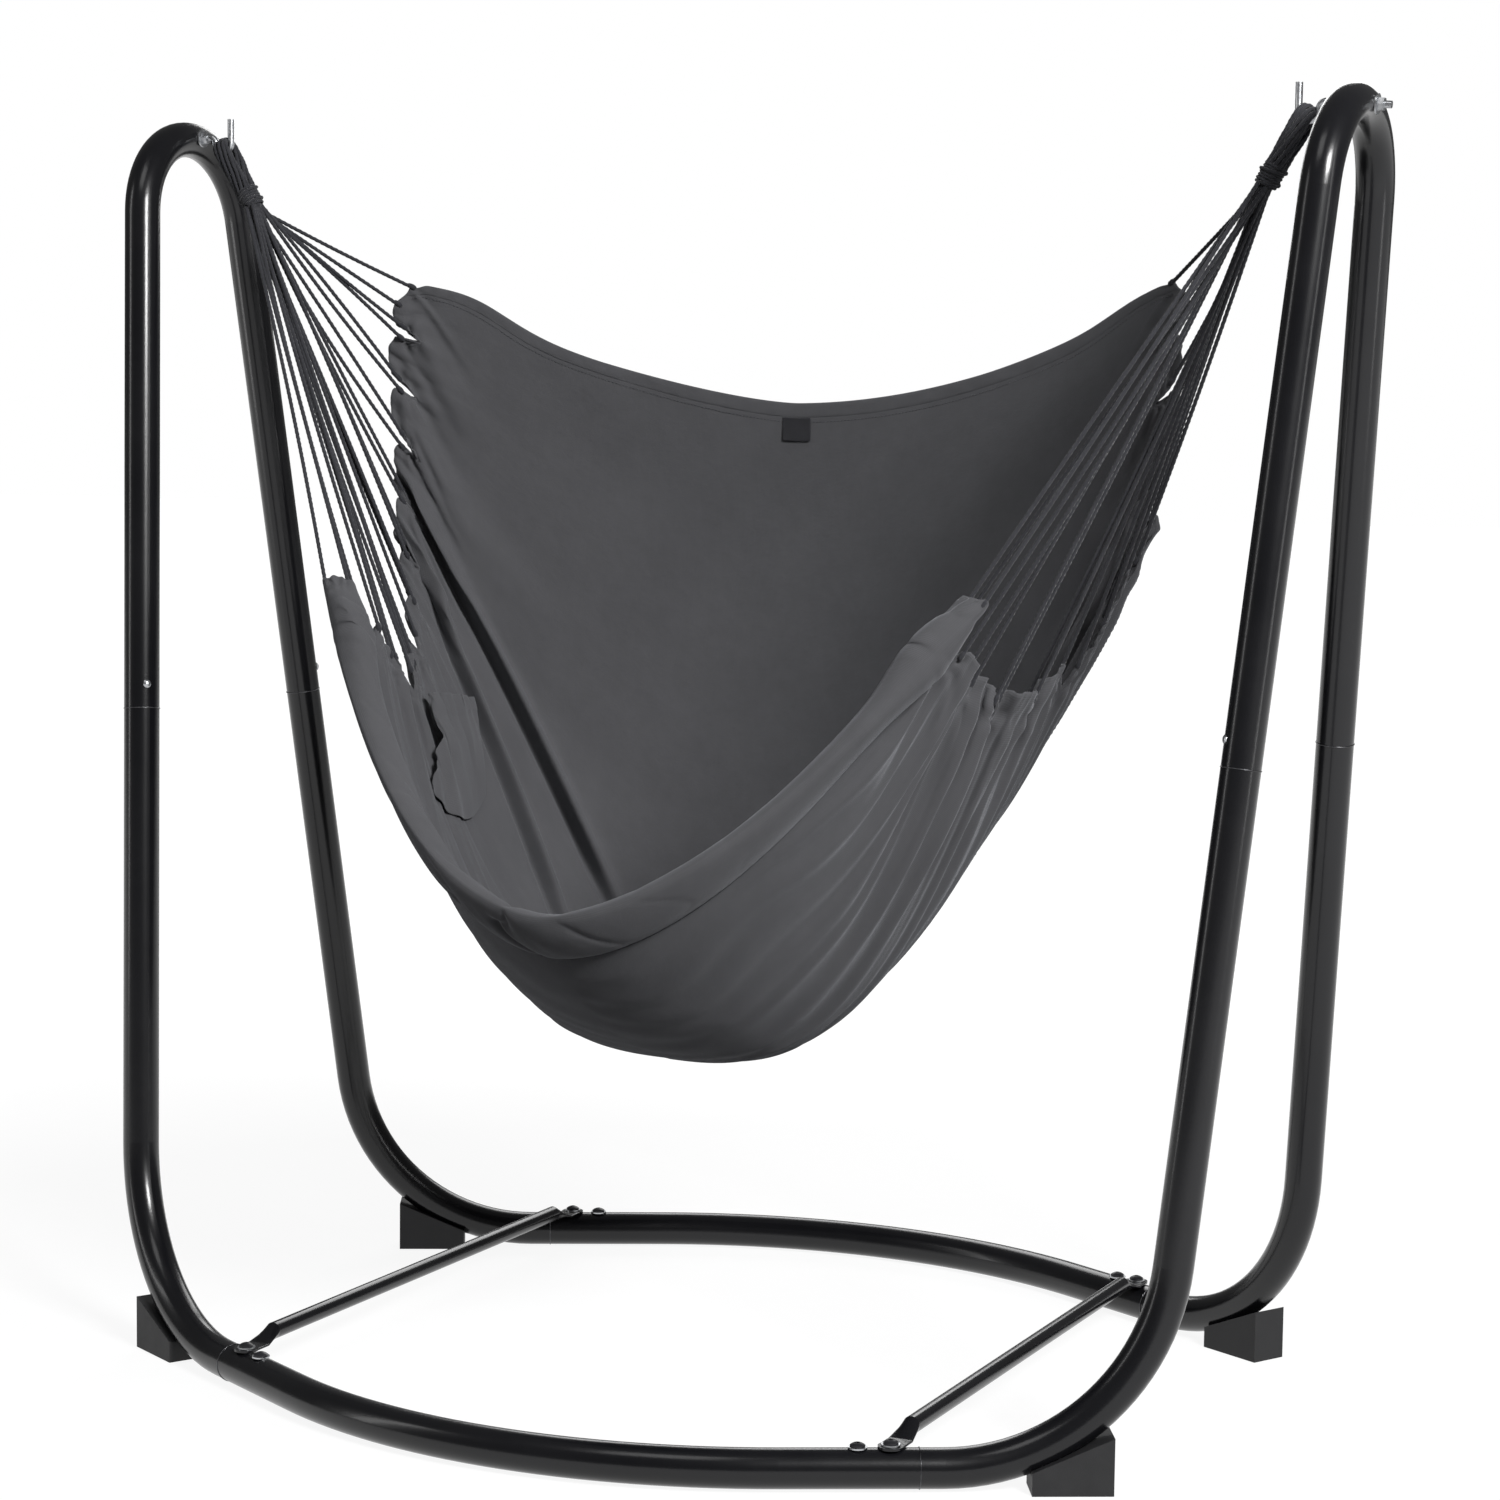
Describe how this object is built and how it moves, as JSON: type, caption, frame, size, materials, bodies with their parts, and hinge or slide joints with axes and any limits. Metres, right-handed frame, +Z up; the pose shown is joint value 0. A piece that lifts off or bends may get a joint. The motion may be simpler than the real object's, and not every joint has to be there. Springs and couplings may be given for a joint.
{
  "type": "hammock chair on stand",
  "caption": "Hanging hammock chair of grey cloth on cords, swinging from two hooks on a black tubular steel stand.",
  "frame": {"origin": "centre of the stand's footprint on the floor", "axes": "+X to the right when seen from the front, +Y to the back, +Z up; the chair swings about X"},
  "size_m": [1.5384, 1.0596, 1.4465],
  "materials": {
    "frame_paint": "gloss",
    "black_steel": "satin",
    "zinc_steel": "satin",
    "foot_plastic": "matte",
    "cloth": "woven",
    "tag": "woven",
    "cord": "twisted"
  },
  "bodies": {
    "stand": {"base_bolts": "black_steel", "base_nuts": "zinc_steel", "base_washers": "zinc_steel", "foot_screws": "zinc_steel", "front_base_tube": "frame_paint", "front_left_foot": "foot_plastic", "front_left_leg_tube": "frame_paint", "front_right_foot": "foot_plastic", "front_right_leg_tube": "frame_paint", "hook_nuts": "zinc_steel", "hook_washers": "zinc_steel", "left_arch_tube": "frame_paint", "left_cross_bar": "frame_paint", "left_hook": "zinc_steel", "leg_joint_screws": "zinc_steel", "rear_base_tube": "frame_paint", "rear_left_foot": "foot_plastic", "rear_left_leg_tube": "frame_paint", "rear_right_foot": "foot_plastic", "rear_right_leg_tube": "frame_paint", "right_arch_tube": "frame_paint", "right_cross_bar": "frame_paint", "right_hook": "zinc_steel"},
    "chair": {"back_hem": "cloth", "blank_tag": "tag", "cord_left_01": "cord", "cord_left_02": "cord", "cord_left_03": "cord", "cord_left_04": "cord", "cord_left_05": "cord", "cord_left_06": "cord", "cord_left_07": "cord", "cord_left_08": "cord", "cord_left_09": "cord", "cord_left_10": "cord", "cord_left_11": "cord", "cord_left_12": "cord", "cord_left_13": "cord", "cord_right_01": "cord", "cord_right_02": "cord", "cord_right_03": "cord", "cord_right_04": "cord", "cord_right_05": "cord", "cord_right_06": "cord", "cord_right_07": "cord", "cord_right_08": "cord", "cord_right_09": "cord", "cord_right_10": "cord", "cord_right_11": "cord", "cord_right_12": "cord", "cord_right_13": "cord", "front_hem": "cloth", "left_rope_loop": "cord", "left_whipping": "cord", "right_rope_loop": "cord", "right_whipping": "cord", "seat_fabric": "cloth", "side_pocket": "cloth"}
  },
  "joints": [
    {"name": "seat_swing", "type": "hinge", "parent": "stand", "child": "chair", "pos_m": [0, 0, 1.40799], "axis": [1, 0, 0], "range_deg": [-25, 25]}
  ]
}
